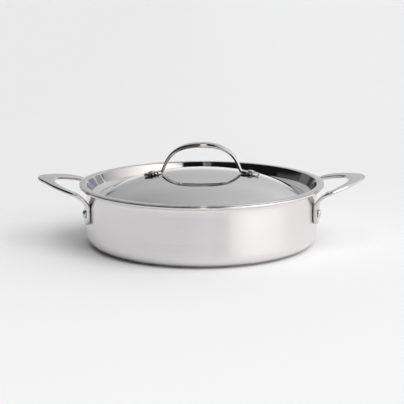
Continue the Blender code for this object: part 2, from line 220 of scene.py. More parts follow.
def stretch(wider, thicker, axes, centre):
    """Scales a cross-section along its own width and thickness."""
    bpy.ops.transform.resize(
        value=(wider, thicker, 1),
        orient_type="GLOBAL",
        orient_matrix=axes,
        orient_matrix_type="GLOBAL",
        center_override=centre,
    )


# %% Helpers that draw a strap
EDGE_SEGMENTS = 3
SMOOTHING_LEVELS = 2
SEAM_REACH = 1e-5


def half_strap(name, stations, edge):
    """Extrudes a rounded plate from station to station, and stays in edit mode."""
    begin()
    bpy.ops.mesh.primitive_plane_add(size=1)
    piece = bpy.context.object
    piece.name = name
    first = stations[0]
    bpy.ops.object.mode_set(mode="EDIT")
    bpy.ops.mesh.select_all(action="SELECT")
    bpy.ops.transform.resize(value=(first.width, first.thickness, 1))
    bpy.ops.mesh.bevel(affect="VERTICES", offset=edge, segments=EDGE_SEGMENTS)
    turn(first.axes, (0, 0, 0))
    bpy.ops.transform.translate(value=first.centre)
    for before, after in zip(stations, stations[1:]):
        step = after.centre - before.centre
        bpy.ops.mesh.extrude_region_move(TRANSFORM_OT_translate={"value": step})
        turn(after.axes @ before.axes.transposed(), after.centre)
        wider, thicker = after.width / before.width, after.thickness / before.thickness
        stretch(wider, thicker, after.axes, after.centre)
    print(name, "drawn in", len(stations), "stations")
    return piece


def whole_strap(piece, mirror_axis):
    """Opens the end on the plane of symmetry, mirrors the half strap and smooths the whole."""
    index = "XYZ".index(mirror_axis)
    bpy.ops.mesh.select_all(action="DESELECT")
    bpy.ops.mesh.select_mode(type="FACE")
    opened = pick_faces(piece, lambda at, normal: abs(at[index]) < SAME_POINT and abs(normal[index]) > 0.99)
    bpy.ops.mesh.delete(type="FACE")
    begin()
    mirror = piece.modifiers.new("other_half", "MIRROR")
    mirror.use_axis = [axis == mirror_axis for axis in "XYZ"]
    mirror.merge_threshold = SEAM_REACH
    fine = piece.modifiers.new("fine", "SUBSURF")
    fine.levels = fine.render_levels = SMOOTHING_LEVELS
    apply_all(piece)
    bpy.ops.object.mode_set(mode="EDIT")
    bpy.ops.mesh.select_all(action="SELECT")
    bpy.ops.mesh.normals_make_consistent(inside=False)
    begin()
    print(piece.name, "mirrored over", opened, "open end")


# %% [markdown]
# ## The pan
# The pan is one sheet of bonded metal, pressed to a flat base, a rounded corner, an upright wall and a rim that
# flares outwards so that it pours cleanly. A cylinder with a smaller one cut out of it would give wall and base, but
# neither the flare nor an even sheet. So one outline runs from the middle of the underside, up the outside, over the
# rim and down the inside, and is spun once. The visible pan also stands on a low flat step inside the rounded
# corner, which the solid leaves out: it keeps a thin dark line of shadow where pan and table meet.

# %% Sizes of the pan in metres
POT_RADIUS = 0.1354
POT_HEIGHT = 0.0715
WALL = 0.0028
BASE_CORNER = 0.0145
BASE_STEP = 0.0016
RIM_FLARE = 0.0054
RIM_LAND = 0.0022
RIM_EDGE = 0.0010
FLARE = (POT_RADIUS + RIM_FLARE, POT_HEIGHT - WALL - RIM_FLARE)
RIM_RADIUS = FLARE[0] + RIM_LAND
FIT = 0.0003
print("rim", round(2 * RIM_RADIUS, 4), "across, with", FIT, "between seated faces")

# %% Spin the pan
ROUND_STEPS = 256
BASE_RINGS = (0.045, 0.09)
CORNER_STEPS = 14
WALL_STEPS = 8
FLARE_STEPS = 10
EDGE_STEPS = 3
INSIDE_STEPS = 12


def up_the_wall(radius):
    """Points between the base's corner and the flare, without the ends."""
    rise = FLARE[1] - BASE_CORNER
    return [(radius, BASE_CORNER + i * rise / WALL_STEPS) for i in range(1, WALL_STEPS)]


def pan_outline():
    corner = (POT_RADIUS - BASE_CORNER, BASE_CORNER)
    stand = corner[0] - BASE_STEP
    line = [(0.0, 0.0)] + [(ring, 0.0) for ring in BASE_RINGS]
    line += [(stand, 0.0), (stand + BASE_STEP / 4, BASE_STEP)]
    lift = 1 - BASE_STEP / BASE_CORNER
    line += [(radius, BASE_STEP + z * lift) for radius, z in arc(corner, BASE_CORNER, -90, 0, CORNER_STEPS)]
    line += up_the_wall(POT_RADIUS)
    line += arc(FLARE, RIM_FLARE, 180, 90, FLARE_STEPS)
    line += arc((RIM_RADIUS - RIM_EDGE, POT_HEIGHT - WALL + RIM_EDGE), RIM_EDGE, -90, 0, EDGE_STEPS)
    line += arc((RIM_RADIUS - RIM_EDGE, POT_HEIGHT - RIM_EDGE), RIM_EDGE, 0, 90, EDGE_STEPS)
    line += arc(FLARE, RIM_FLARE + WALL, 90, 180, INSIDE_STEPS)
    line += reversed(up_the_wall(POT_RADIUS - WALL))
    line += arc(corner, BASE_CORNER - WALL, 0, -90, INSIDE_STEPS)
    line += [(ring, WALL) for ring in reversed(BASE_RINGS)] + [(0.0, WALL)]
    return line


pan = spun("pan", pan_outline(), ROUND_STEPS)
print("pan", [round(size, 4) for size in pan.dimensions])

# %% [markdown]
# ## The lid
# The lid is one thin sheet too. A flat band lies on the rim, a cone dips inside the flare and keeps the lid from
# sliding off, a channel catches drips, and a shallow dome rises from the channel. A Solidify modifier could give the
# sheet its thickness, but would leave a square lip. So the upper side is a line with fillets, the underside is the
# same line set back by the sheet, and small arcs close the lip. The dome is flat at its crown and tightens towards
# its foot. Its crown is drawn up to a millimetre fuller than the solid's, because that curve decides where the
# handle's mirror image falls.

# %% Sizes of the lid
LID_SHEET = 0.0010
LIP_ROLL = 0.0022
LIP_EDGE = 0.45 * LID_SHEET
CONE_LEAN = math.radians(29.5)
CONE_CLEARANCE = 0.00045
CHANNEL_DROP = 0.0115
CHANNEL_FLOOR = (0.0066, 0.0040)
CHANNEL_FILLET = 0.0030
DOME_FOOT = (0.0111, 0.0032)
DOME_RISE = 0.0263
DOME_CROWN_RADIUS = 0.470
LIP_TOP = POT_HEIGHT + FIT + LID_SHEET
CONE_FOOT_Z = LIP_TOP - CHANNEL_DROP
CONE_REACH = RIM_FLARE + WALL + CONE_CLEARANCE + LID_SHEET
CONE_AT_FLARE = FLARE[0] - CONE_REACH / math.cos(CONE_LEAN)
LIP_INNER = CONE_AT_FLARE + (LIP_TOP - FLARE[1]) * math.tan(CONE_LEAN)
CHANNEL_RADIUS = CONE_AT_FLARE + (CONE_FOOT_Z - FLARE[1]) * math.tan(CONE_LEAN)
DOME_RADIUS = CHANNEL_RADIUS - DOME_FOOT[0]
DOME_FOOT_Z = CONE_FOOT_Z - DOME_FOOT[1]
DOME_TOP = DOME_FOOT_Z + DOME_RISE
print("dome", round(2 * DOME_RADIUS, 4), "across, its top at", round(DOME_TOP, 4))


# %% The dome's curve
def dome_height(radius):
    """A round crown, and a fourth power that turns the foot down."""
    crown = radius**2 / (2 * DOME_CROWN_RADIUS)
    tighten = DOME_RISE - DOME_RADIUS**2 / (2 * DOME_CROWN_RADIUS)
    return DOME_TOP - crown - tighten * (radius / DOME_RADIUS) ** 4


def dome_slope(radius):
    """How steeply the dome falls outwards, in radians."""
    step = 1e-4
    return math.atan2(dome_height(radius - step) - dome_height(radius + step), 2 * step)


# %% Spin the lid
DOME_STEPS = 44
FILLET_STEPS = 8


def lid_outline():
    top = rounded(
        [
            (RIM_RADIUS - LIP_EDGE, LIP_TOP),
            (LIP_INNER, LIP_TOP, LIP_ROLL),
            (CHANNEL_RADIUS, CONE_FOOT_Z, CHANNEL_FILLET),
            (CHANNEL_RADIUS - CHANNEL_FLOOR[0], CONE_FOOT_Z - CHANNEL_FLOOR[1], CHANNEL_FILLET),
            (DOME_RADIUS, DOME_FOOT_Z),
        ],
        FILLET_STEPS,
    )
    for i in range(1, DOME_STEPS):
        radius = DOME_RADIUS * (1 - i / DOME_STEPS)
        top.append((radius, dome_height(radius)))
    top.append((0.0, DOME_TOP))
    under = beside(top, LID_SHEET)
    under[-1] = (0.0, DOME_TOP - LID_SHEET)
    radius = RIM_RADIUS - LIP_EDGE
    lip = arc((radius, LIP_TOP - LIP_EDGE), LIP_EDGE, 90, 0, EDGE_STEPS)[1:]
    lip += arc((radius, LIP_TOP - LID_SHEET + LIP_EDGE), LIP_EDGE, 0, -90, EDGE_STEPS)[:-1]
    return list(reversed(top)) + lip + under


lid = spun("lid", lid_outline(), ROUND_STEPS)
print("lid", [round(size, 4) for size in lid.dimensions])

# %% [markdown]
# ## The loop handles
# Each loop handle is one casting. A pad with a round end lies on the wall, bends outwards and up, runs on as an arm,
# and both arms spread into a wide, slightly tilted end plate. It could be a flat plate with a hole, bent afterwards,
# but the bend and the twist would pull such a hole out of shape. As a strap, the opening between the arms gets soft
# corners by itself, because the arm's width and the plate's width melt into each other.

# %% Sizes of the loop handles
HANDLE_REACH = 0.05608
PLATE_DEPTH = 0.0205
PLATE_TILT = math.radians(8.0)
PLATE_RISE = 0.0083
ARM_WIDTH = 0.0120
ARM_NECK = 0.0104
ARM_THICKNESS = 0.0040
PLATE_CORNER = 0.0016
PLATE_SHOULDER = 0.0220
ARM_SWEEP = 0.0125
BEND_DROP = 0.0195
BEND_Z = POT_HEIGHT - BEND_DROP
BEND = Vector((0.0128, 0.0050, 0.0144))
BEND_EASE = 0.0048
BEND_EXIT_SLOPE = math.radians(21.0)
PAD_HALF_SPACING = 0.0426
PAD_WIDTH = 0.0155
PAD_THICKNESS = 0.0044
PAD_LENGTH = 0.0214
STRAP_EDGE = 0.0017
PAD_SEAT = POT_RADIUS + FIT + PAD_THICKNESS / 2
PAD_AZIMUTH = math.asin(PAD_HALF_SPACING / PAD_SEAT)
print("pads at", round(math.degrees(PAD_AZIMUTH), 1), "degrees to each side")

# %% The pad
UP = Vector((0, 0, 1))
PAD_OUTWARD = Vector((math.cos(PAD_AZIMUTH), math.sin(PAD_AZIMUTH), 0))
PAD_FOOT = PAD_OUTWARD * PAD_SEAT


def pad_sections():
    """From the pad's round lower end to the start of the bend."""
    sections = []
    for degrees in (10, 20, 32, 45, 60, 75, 90):
        lean = math.radians(degrees)
        rise = BEND_Z - PAD_LENGTH + PAD_WIDTH / 2 * (1 - math.cos(lean))
        width = PAD_WIDTH * math.sin(lean)
        sections.append(Section(PAD_FOOT + UP * rise, -PAD_OUTWARD, width, PAD_THICKNESS))
    full = sections[-1].centre
    for share in (0.33, 0.67):
        centre = full + UP * (BEND_Z - full.z) * share
        sections.append(Section(centre, -PAD_OUTWARD, PAD_WIDTH, PAD_THICKNESS))
    return sections


# %% The bend
BEND_STEPS = 14
BEND_START = PAD_FOOT + UP * BEND_Z
BEND_END = BEND_START + BEND
BEND_EXIT = Vector((math.cos(BEND_EXIT_SLOPE), 0, math.sin(BEND_EXIT_SLOPE)))
ARM_FACE = Vector((-BEND_EXIT.z, 0, BEND_EXIT.x))


def bend_sections():
    """From the top of the pad, outwards and up, into the arm."""
    leave, arrive = BEND_START + UP * BEND_EASE, BEND_END - BEND_EXIT * BEND_EASE
    sections = []
    for i, centre in enumerate(interpolate_bezier(BEND_START, leave, arrive, BEND_END, BEND_STEPS + 1)):
        share = smooth_step(i / BEND_STEPS)
        width = blend(PAD_WIDTH, ARM_NECK, share)
        thickness = blend(PAD_THICKNESS, ARM_THICKNESS, share)
        sections.append(Section(centre, (-PAD_OUTWARD).lerp(ARM_FACE, share), width, thickness))
    return sections


# %% The arm and the end plate
ARM_STEPS = 30
LEAST_CROSSING = 0.3
PLATE_LINE = Vector((math.cos(PLATE_TILT), 0, math.sin(PLATE_TILT)))
PLATE_FACE = Vector((-PLATE_LINE.z, 0, PLATE_LINE.x))
PLATE_EDGE = Vector((POT_RADIUS + HANDLE_REACH, 0, POT_HEIGHT + PLATE_RISE))
PLATE_MIDDLE = PLATE_EDGE - PLATE_LINE * PLATE_DEPTH / 2 - PLATE_FACE * ARM_THICKNESS / 2
OPENING_END = PLATE_EDGE.x - PLATE_DEPTH * PLATE_LINE.x


def soft_larger(a, b, softness):
    """The larger of two sizes, rounded off where they cross."""
    return (a + b + math.sqrt((a - b) ** 2 + softness**2)) / 2


def arm_sections():
    """Along the arm, and wider where it becomes the end plate, almost to the middle of the plate."""
    leave, arrive = BEND_END + BEND_EXIT * ARM_SWEEP, PLATE_MIDDLE + Vector((0, PLATE_SHOULDER, 0))
    arm = interpolate_bezier(BEND_END, leave, arrive, PLATE_MIDDLE, ARM_STEPS + 1)
    sections = []
    for i in range(1, ARM_STEPS):
        share = i / ARM_STEPS
        along = (arm[i + 1] - arm[i - 1]).normalized()
        arm_half = blend(ARM_NECK, ARM_WIDTH, smooth_step(2 * share)) / 2
        plate_half = (arm[i].x - OPENING_END) / max(abs(along.y), LEAST_CROSSING)
        width = 2 * soft_larger(arm_half, plate_half, PLATE_CORNER)
        sections.append(Section(arm[i], ARM_FACE.lerp(PLATE_FACE, smooth_step(share)), width, ARM_THICKNESS))
    return sections


# %% Draw the loop handles
loop_stations = squared(pad_sections() + bend_sections() + arm_sections())
plate_axes = section_axes(PLATE_FACE, Vector((0, -1, 0)))
loop_stations.append(Station(PLATE_MIDDLE, plate_axes, PLATE_DEPTH, ARM_THICKNESS))
loop_right = half_strap("loop_handle_right", from_the_middle(loop_stations), STRAP_EDGE)
whole_strap(loop_right, "Y")
loop_left = loop_right.copy()
loop_left.data = loop_right.data.copy()
loop_left.name = "loop_handle_left"
bpy.context.scene.collection.objects.link(loop_left)
take(loop_left)
loop_left.rotation_euler.z = math.pi
bpy.ops.object.transform_apply(location=False, rotation=True, scale=False)
print("loops", [round(size, 4) for size in loop_right.dimensions])

# %% [markdown]
# ## The lid's handle
# A strap arches over the dome. At each end it sweeps out into a thin oval foot that lies on the slope of the dome,
# where a rivet holds it. The legs are narrow and thin, and the top is wide, so that it sits well in the hand. It is
# drawn like the loops, from the middle of the arch to the tip of one foot. Its edges are rounder than the solid's
# and it is up to half a millimetre thicker, because the light runs along those edges.

# %% Sizes of the lid's handle
ARCH_TOP = 0.0343
ARCH_THICKNESS = 0.0052
ARCH_WIDTH = 0.0165
ARCH_SHOULDER = 0.0270
ARCH_EDGE = 0.0024
LEG_HALF_SPAN = 0.0443
LEG_RISE = 0.0066
LEG_LEAN = math.radians(20.0)
LEG_EASE = 0.0190
LEG_THICKNESS = 0.0038
ANKLE_EASE = 0.62
HEEL_EASE = 0.55
NECK_WIDTH = 0.0085
NECK_TAPER = 1.6
FOOT_STANDOFF = 0.0135
FOOT_CENTRE = LEG_HALF_SPAN + FOOT_STANDOFF
FOOT_LENGTH = 0.0196
FOOT_WIDTH = 0.0140
FOOT_THICKNESS = 0.0033
print("room under the arch", round(ARCH_TOP - ARCH_THICKNESS, 4))

# %% The foot
FOOT_SLOPE = dome_slope(FOOT_CENTRE)
FOOT_LINE = Vector((math.cos(FOOT_SLOPE), 0, -math.sin(FOOT_SLOPE)))
FOOT_FACE = Vector((math.sin(FOOT_SLOPE), 0, math.cos(FOOT_SLOPE)))
FOOT_MIDDLE = Vector((FOOT_CENTRE, 0, dome_height(FOOT_CENTRE))) + FOOT_FACE * (FIT + FOOT_THICKNESS / 2)


def foot_sections():
    """From the foot's round tip, up the slope of the dome, to the ankle."""
    sections = []
    for degrees in (8, 18, 30, 44, 58, 72, 90, 103, 115):
        lean = math.radians(degrees)
        centre = FOOT_MIDDLE + FOOT_LINE * FOOT_LENGTH / 2 * math.cos(lean)
        sections.append(Section(centre, FOOT_FACE, FOOT_WIDTH * math.sin(lean), FOOT_THICKNESS))
    return sections


# %% The leg
LEG_STEPS = 14
LEG_FOOT = Vector((LEG_HALF_SPAN, 0, FOOT_MIDDLE.z + LEG_RISE))
LEG_DOWN = Vector((math.sin(LEG_LEAN), 0, -math.cos(LEG_LEAN)))
LEG_FACE = Vector((math.cos(LEG_LEAN), 0, math.sin(LEG_LEAN)))


def leg_sections(ankle):
    """The turn from the foot up into the narrow leg."""
    reach = (LEG_FOOT - ankle.centre).length
    leave = ankle.centre - FOOT_LINE * reach * ANKLE_EASE
    arrive = LEG_FOOT + LEG_DOWN * reach * HEEL_EASE
    heel = interpolate_bezier(ankle.centre, leave, arrive, LEG_FOOT, LEG_STEPS + 1)
    sections = []
    for i in range(1, LEG_STEPS + 1):
        share = smooth_step(i / LEG_STEPS)
        width = blend(ankle.width, NECK_WIDTH, smooth_step(NECK_TAPER * i / LEG_STEPS))
        thickness = blend(FOOT_THICKNESS, LEG_THICKNESS, share)
        sections.append(Section(heel[i], FOOT_FACE.lerp(LEG_FACE, share), width, thickness))
    return sections


# %% The arch
ARCH_STEPS = 26
ARCH_MIDDLE = Vector((0, 0, DOME_TOP + ARCH_TOP - ARCH_THICKNESS / 2))


def arch_sections():
    """From the leg up and over, almost to the middle of the arch."""
    leave, arrive = LEG_FOOT - LEG_DOWN * LEG_EASE, ARCH_MIDDLE + Vector((ARCH_SHOULDER, 0, 0))
    arch = interpolate_bezier(LEG_FOOT, leave, arrive, ARCH_MIDDLE, ARCH_STEPS + 1)
    sections = []
    for i in range(1, ARCH_STEPS):
        share = smooth_step(i / ARCH_STEPS)
        width = blend(NECK_WIDTH, ARCH_WIDTH, share)
        thickness = blend(LEG_THICKNESS, ARCH_THICKNESS, share)
        sections.append(Section(arch[i], LEG_FACE.lerp(UP, share), width, thickness))
    return sections


# %% Draw the lid's handle
foot = foot_sections()
arch_stations = squared(foot + leg_sections(foot[-1]) + arch_sections())
arch_axes = section_axes(UP, Vector((-1, 0, 0)))
arch_stations.append(Station(ARCH_MIDDLE, arch_axes, ARCH_WIDTH, ARCH_THICKNESS))
arch_handle = half_strap("arch_handle", from_the_middle(arch_stations), ARCH_EDGE)
whole_strap(arch_handle, "X")
print("arch", [round(size, 4) for size in arch_handle.dimensions])

# %% [markdown]
# ## The rivets
# Each rivet is turned with a domed head, pushed through strap and sheet, and closed with a flat head inside. One is
# spun at the middle of the scene, copied, and moved to its hole, so that all heads are alike. The holes could be
# left out, because the heads hide them, but then each shank would lie inside other metal. They are cut with a
# cylinder and a Boolean modifier, a little wider than the shank.

# %% Sizes of the rivets
SHANK_RADIUS = 0.0030
HOLE_CLEARANCE = 0.0003
SIDE_RIVET_DROP = 0.0090
SIDE_RIVET_Z = BEND_Z - SIDE_RIVET_DROP
SIDE_HEAD = (0.00465, 0.0030)
LID_HEAD = (0.0040, 0.0016)
INNER_HEAD = (0.0048, 0.0013)
SIDE_GRIP = FIT + PAD_THICKNESS + FIT + WALL + FIT
LID_GRIP = FIT + FOOT_THICKNESS + FIT + LID_SHEET + FIT
print("grips", round(SIDE_GRIP, 4), "and", round(LID_GRIP, 4))

# %% A rivet's outline
RIVET_STEPS = 48
CAP_STEPS = 10
CAP_UPRIGHT = 0.2
INNER_STEPS = 6
INNER_UPRIGHT = 0.3


def rivet_outline(grip, head):
    """Both heads are oval caps with a small upright edge. The strap's face is at zero."""
    radius, rise = head
    edge = CAP_UPRIGHT * rise
    line = [(0.0, rise)]
    for i in range(1, CAP_STEPS + 1):
        lean = math.radians(90 - 90 * i / CAP_STEPS)
        line.append((radius * math.cos(lean), edge + (rise - edge) * math.sin(lean)))
    line += [(radius, 0.0), (SHANK_RADIUS, 0.0), (SHANK_RADIUS, -grip), (INNER_HEAD[0], -grip)]
    for i in range(INNER_STEPS):
        lean = math.radians(90 * i / INNER_STEPS)
        drop = INNER_UPRIGHT + (1 - INNER_UPRIGHT) * math.sin(lean)
        line.append((INNER_HEAD[0] * math.cos(lean), -grip - INNER_HEAD[1] * drop))
    line.append((0.0, -grip - INNER_HEAD[1]))
    return line


# %% Places of the rivets
def side_places():
    seat = POT_RADIUS + FIT + PAD_THICKNESS + FIT
    lie_down = Matrix.Rotation(math.pi / 2, 4, "Y")
    angles = {
        "right_front": -PAD_AZIMUTH,
        "right_rear": PAD_AZIMUTH,
        "left_front": math.pi + PAD_AZIMUTH,
        "left_rear": math.pi - PAD_AZIMUTH,
    }
    out = Matrix.Translation((seat, 0, SIDE_RIVET_Z))
    return {corner: Matrix.Rotation(angle, 4, "Z") @ out @ lie_down for corner, angle in angles.items()}


def lid_places():
    seat = Matrix.Translation((FOOT_CENTRE, 0, dome_height(FOOT_CENTRE)))
    tilt = Matrix.Rotation(FOOT_SLOPE, 4, "Y")
    right = seat @ tilt @ Matrix.Translation((0, 0, FIT + FOOT_THICKNESS + FIT))
    return {"right": right, "left": Matrix.Rotation(math.pi, 4, "Z") @ right}


def placed_copy(source, name, place):
    """A copy with its own mesh, whose place is put into the mesh."""
    piece = source.copy()
    piece.data = source.data.copy()
    piece.name = name
    bpy.context.scene.collection.objects.link(piece)
    piece.matrix_world = place
    take(piece)
    bpy.ops.object.transform_apply(location=True, rotation=True, scale=True)
    return piece


# %% Spin and place the rivets
CAST_CREASE = 50
SHEET_CREASE = 35


def riveted(prefix, outline, places):
    """One rivet at every place, all copied from one pattern."""
    pattern = spun(prefix + "_pattern", outline, RIVET_STEPS)
    smooth(pattern, CAST_CREASE)
    pieces = {key: placed_copy(pattern, prefix + "_" + key, place) for key, place in places.items()}
    bpy.data.objects.remove(pattern)
    return pieces


side_rivets = riveted("wall_rivet", rivet_outline(SIDE_GRIP, SIDE_HEAD), side_places())
lid_rivets = riveted("foot_rivet", rivet_outline(LID_GRIP, LID_HEAD), lid_places())
print("rivets", len(side_rivets), "on the wall and", len(lid_rivets), "on the lid")

# %% Cut the rivet holes
def drill(pieces, places, grip):
    """Cuts a round hole through each piece at every place."""
    radius = SHANK_RADIUS + HOLE_CLEARANCE
    drills = []
    for place in places.values():
        begin()
        bpy.ops.mesh.primitive_cylinder_add(vertices=RIVET_STEPS, radius=radius, depth=3 * grip)
        bit = bpy.context.object
        bit.matrix_world = place @ Matrix.Translation((0, 0, -grip / 2))
        drills.append(bit)
    for piece in pieces:
        for bit in drills:
            cut = piece.modifiers.new("hole", "BOOLEAN")
            cut.operation = "DIFFERENCE"
            cut.solver = "EXACT"
            cut.object = bit
        apply_all(piece)
    for bit in drills:
        bpy.data.objects.remove(bit)


drill([pan, loop_left, loop_right], side_places(), SIDE_GRIP)
drill([lid, arch_handle], lid_places(), LID_GRIP)
for piece in (pan, lid):
    smooth(piece, SHEET_CREASE)
for piece in (loop_left, loop_right, arch_handle):
    smooth(piece, CAST_CREASE)

# %% [markdown]
# ## Helpers for node finishes
# All the metal is one kind of steel, so one helper sets its colour and roughness. The wall's grey is painted lighter
# and the arch's darker than the rest, as painted light and shade. Flat values would look like plastic: real steel is
# a little darker and rougher in streaks, so both follow a pattern.

# %% Helpers for node materials
def new_material(name):
    material = bpy.data.materials.new(name)
    material.use_nodes = True
    tree = material.node_tree
    tree.nodes.clear()
    output = tree.nodes.new("ShaderNodeOutputMaterial")
    shader = tree.nodes.new("ShaderNodeBsdfPrincipled")
    tree.links.new(shader.outputs[0], output.inputs[0])
    return material, tree, shader


def node(tree, kind, settings=None, **inputs):
    """A node with its settings, and inputs that are values or other nodes' sockets."""
    made = tree.nodes.new(kind)
    for key, value in (settings or {}).items():
        setattr(made, key, value)
    for key, value in inputs.items():
        socket = made.inputs[int(key[1:])] if key[1:].isdigit() else made.inputs[key.replace("_", " ")]
        if isinstance(value, bpy.types.NodeSocket):
            tree.links.new(value, socket)
        else:
            socket.default_value = value
    return made.outputs


def ramp(tree, value, start, end, at_start, at_end):
    """A straight change between two values of another quantity, and level beyond them."""
    return node(tree, "ShaderNodeMapRange", None, i0=value, i1=start, i2=end, i3=at_start, i4=at_end)[0]


def steel_shader(shader, tree, grey, warmth, streaks, rough_low, rough_high, shade_depth):
    """Colour and roughness that follow a streak pattern between 0 and 1."""
    light = (grey * (1 + warmth), grey, grey, 1)
    dark = [channel * (1 - shade_depth) for channel in light[:3]] + [1]
    mix = node(tree, "ShaderNodeMix", {"data_type": "RGBA"}, i0=streaks, i6=dark, i7=light)
    tree.links.new(mix[2], shader.inputs["Base Color"])
    tree.links.new(ramp(tree, streaks, 0.0, 1.0, rough_high, rough_low), shader.inputs["Roughness"])
    shader.inputs["Metallic"].default_value = 1.0


# %% [markdown]
# ## Turned steel, for the pan and the lid
# Turned steel has fine grooves that run round the piece, so a lamp's reflection is drawn out across the grooves. A
# picture of scratches would need a flat layout and show its seam. Here the shader's anisotropy draws the
# reflection out, with a tangent that runs round Z. The grooves come from a noise whose third coordinate is height
# plus radius, so that they run round both a wall and a flat base without a seam.

# %% Turned steel
GROOVES_PER_METRE = 900.0
GROOVE_DRIFT = 1.7
TURNED_CLOUDS = 22.0
CLOUD_SHARE = 0.35
TURNED_SHADE = 0.06
GROOVE_RELIEF = 0.25
QUARTER_TURN = 0.25


def turned_steel(name, grey, warmth, rough_low, rough_high, stretched, groove_height):
    material, tree, shader = new_material(name)
    place = node(tree, "ShaderNodeTexCoord")["Object"]
    axes = node(tree, "ShaderNodeSeparateXYZ", None, i0=place)
    flat = node(tree, "ShaderNodeCombineXYZ", None, i0=axes[0], i1=axes[1])[0]
    radius = node(tree, "ShaderNodeVectorMath", {"operation": "LENGTH"}, i0=flat)[1]
    round_way = node(tree, "ShaderNodeVectorMath", {"operation": "NORMALIZE"}, i0=flat)[0]
    across = node(tree, "ShaderNodeMath", {"operation": "ADD"}, i0=radius, i1=axes[2])[0]
    across = node(tree, "ShaderNodeMath", {"operation": "MULTIPLY"}, i0=across, i1=GROOVES_PER_METRE)[0]
    level = node(tree, "ShaderNodeCombineXYZ", None, i2=across)[0]
    slow = node(tree, "ShaderNodeVectorMath", {"operation": "SCALE"}, i0=round_way, i3=GROOVE_DRIFT)[0]
    lines_at = node(tree, "ShaderNodeVectorMath", {"operation": "ADD"}, i0=slow, i1=level)[0]
    lines = node(tree, "ShaderNodeTexNoise", None, Vector=lines_at, Scale=1.0, Detail=3.0)[0]
    clouds = node(tree, "ShaderNodeTexNoise", None, Vector=place, Scale=TURNED_CLOUDS, Detail=2.0)[0]
    mixing = {"data_type": "FLOAT"}
    streaks = node(tree, "ShaderNodeMix", mixing, i0=CLOUD_SHARE, i2=lines, i3=clouds)[0]
    steel_shader(shader, tree, grey, warmth, streaks, rough_low, rough_high, TURNED_SHADE)
    bump = node(tree, "ShaderNodeBump", None, Strength=GROOVE_RELIEF, Distance=groove_height, Height=lines)[0]
    tree.links.new(bump, shader.inputs["Normal"])
    shader.inputs["Anisotropic"].default_value = stretched
    shader.inputs["Anisotropic Rotation"].default_value = QUARTER_TURN
    tangent = node(tree, "ShaderNodeTangent", {"direction_type": "RADIAL", "axis": "Z"})[0]
    tree.links.new(tangent, shader.inputs["Tangent"])
    return material


# %% [markdown]
# ## Polished steel, for the handles and rivets
# Castings are buffed on a soft wheel that is moved every way, so their grain has no direction and the anisotropy is
# left out. What stays is a faint cloudy haze, and tiny hollows that a low bump draws.

# %% Polished steel
POLISHED_CLOUDS = 60.0
GRAIN_SHARE = 0.5
POLISHED_SHADE = 0.08
HOLLOW_RELIEF = 0.3


def polished_steel(name, grey, warmth, rough_low, rough_high, grain_scale, hollows):
    material, tree, shader = new_material(name)
    place = node(tree, "ShaderNodeTexCoord")["Object"]
    clouds = node(tree, "ShaderNodeTexNoise", None, Vector=place, Scale=POLISHED_CLOUDS, Detail=3.0)[0]
    grain = node(tree, "ShaderNodeTexNoise", None, Vector=place, Scale=grain_scale, Detail=2.0)[0]
    haze = node(tree, "ShaderNodeMix", {"data_type": "FLOAT"}, i0=GRAIN_SHARE, i2=clouds, i3=grain)[0]
    steel_shader(shader, tree, grey, warmth, haze, rough_low, rough_high, POLISHED_SHADE)
    bump = node(tree, "ShaderNodeBump", None, Strength=HOLLOW_RELIEF, Distance=hollows, Height=grain)[0]
    tree.links.new(bump, shader.inputs["Normal"])
    return material


# %% Mix the finishes
# Painted light: the wall's steel is a lighter grey (0.81) than the lid's and the loops' (0.66), standing in for more
# light on the wall.
wall_steel_painted_lighter = turned_steel(
    "wall_satin_painted_lighter", grey=0.81, warmth=0.024, rough_low=0.20, rough_high=0.28, stretched=0.92, groove_height=0.00002
)
lid_finish = turned_steel(
    "lid_polish", grey=0.66, warmth=0.014, rough_low=0.035, rough_high=0.07, stretched=0.3, groove_height=0.000002
)
loop_finish = polished_steel(
    "loop_polish", grey=0.66, warmth=0.02, rough_low=0.05, rough_high=0.10, grain_scale=1800.0, hollows=0.000005
)
# Painted shade: the arch's steel is a darker grey (0.50) than the loops' (0.66), standing in for the shade on its top
# and legs.
arch_steel_painted_darker = polished_steel(
    "arch_polish_painted_darker", grey=0.50, warmth=0.02, rough_low=0.03, rough_high=0.05, grain_scale=1800.0, hollows=0.000002
)
rivet_finish = polished_steel(
    "rivet_polish", grey=0.66, warmth=0.01, rough_low=0.06, rough_high=0.12, grain_scale=1500.0, hollows=0.000004
)

# %% Give each piece its finish
def finish_with(pieces, material):
    for piece in pieces:
        piece.data.materials.clear()
        piece.data.materials.append(material)
    print(material.name, "on", [piece.name for piece in pieces])


finish_with([pan], wall_steel_painted_lighter)
finish_with([lid], lid_finish)
finish_with([loop_left, loop_right], loop_finish)
finish_with([arch_handle], arch_steel_painted_darker)
finish_with(list(side_rivets.values()) + list(lid_rivets.values()), rivet_finish)

# %% [markdown]
# ## Every piece rides on its body
# The pan carries its handles and rivets. The lid carries its arch and rivets, and lifts off. A keyframe or a parent
# set by hand could move them, but then a pose of the CAD model would leave them behind. So each new piece is tied to
# its body and stands for the solid that it was drawn over, which is hidden.

# %% Ride and replace
def stands_for(piece, solid, body):
    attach(piece, body)
    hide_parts(solid)
    print(piece.name, "stands for", solid)


stands_for(pan, "pot_body", "pot")
stands_for(loop_left, "side_handle_left", "pot")
stands_for(loop_right, "side_handle_right", "pot")
for corner, rivet in side_rivets.items():
    stands_for(rivet, "side_rivet_" + corner, "pot")
stands_for(lid, "lid_shell", "lid")
stands_for(arch_handle, "lid_handle", "lid")
for side, rivet in lid_rivets.items():
    stands_for(rivet, "lid_rivet_" + side, "lid")

# %% [markdown]
# ## The table
# The pan stands on a sheet of pale paper that runs on behind it. A lamp that falls off would shade real paper
# towards the back and the left. Here every light is far away, so that shade is painted into the paper's colour.

# %% Floor
FLOOR_SIZE = 30
PAPER_TINT = (0.990, 1.0, 1.014)
PAPER_ROUGHNESS = 0.9

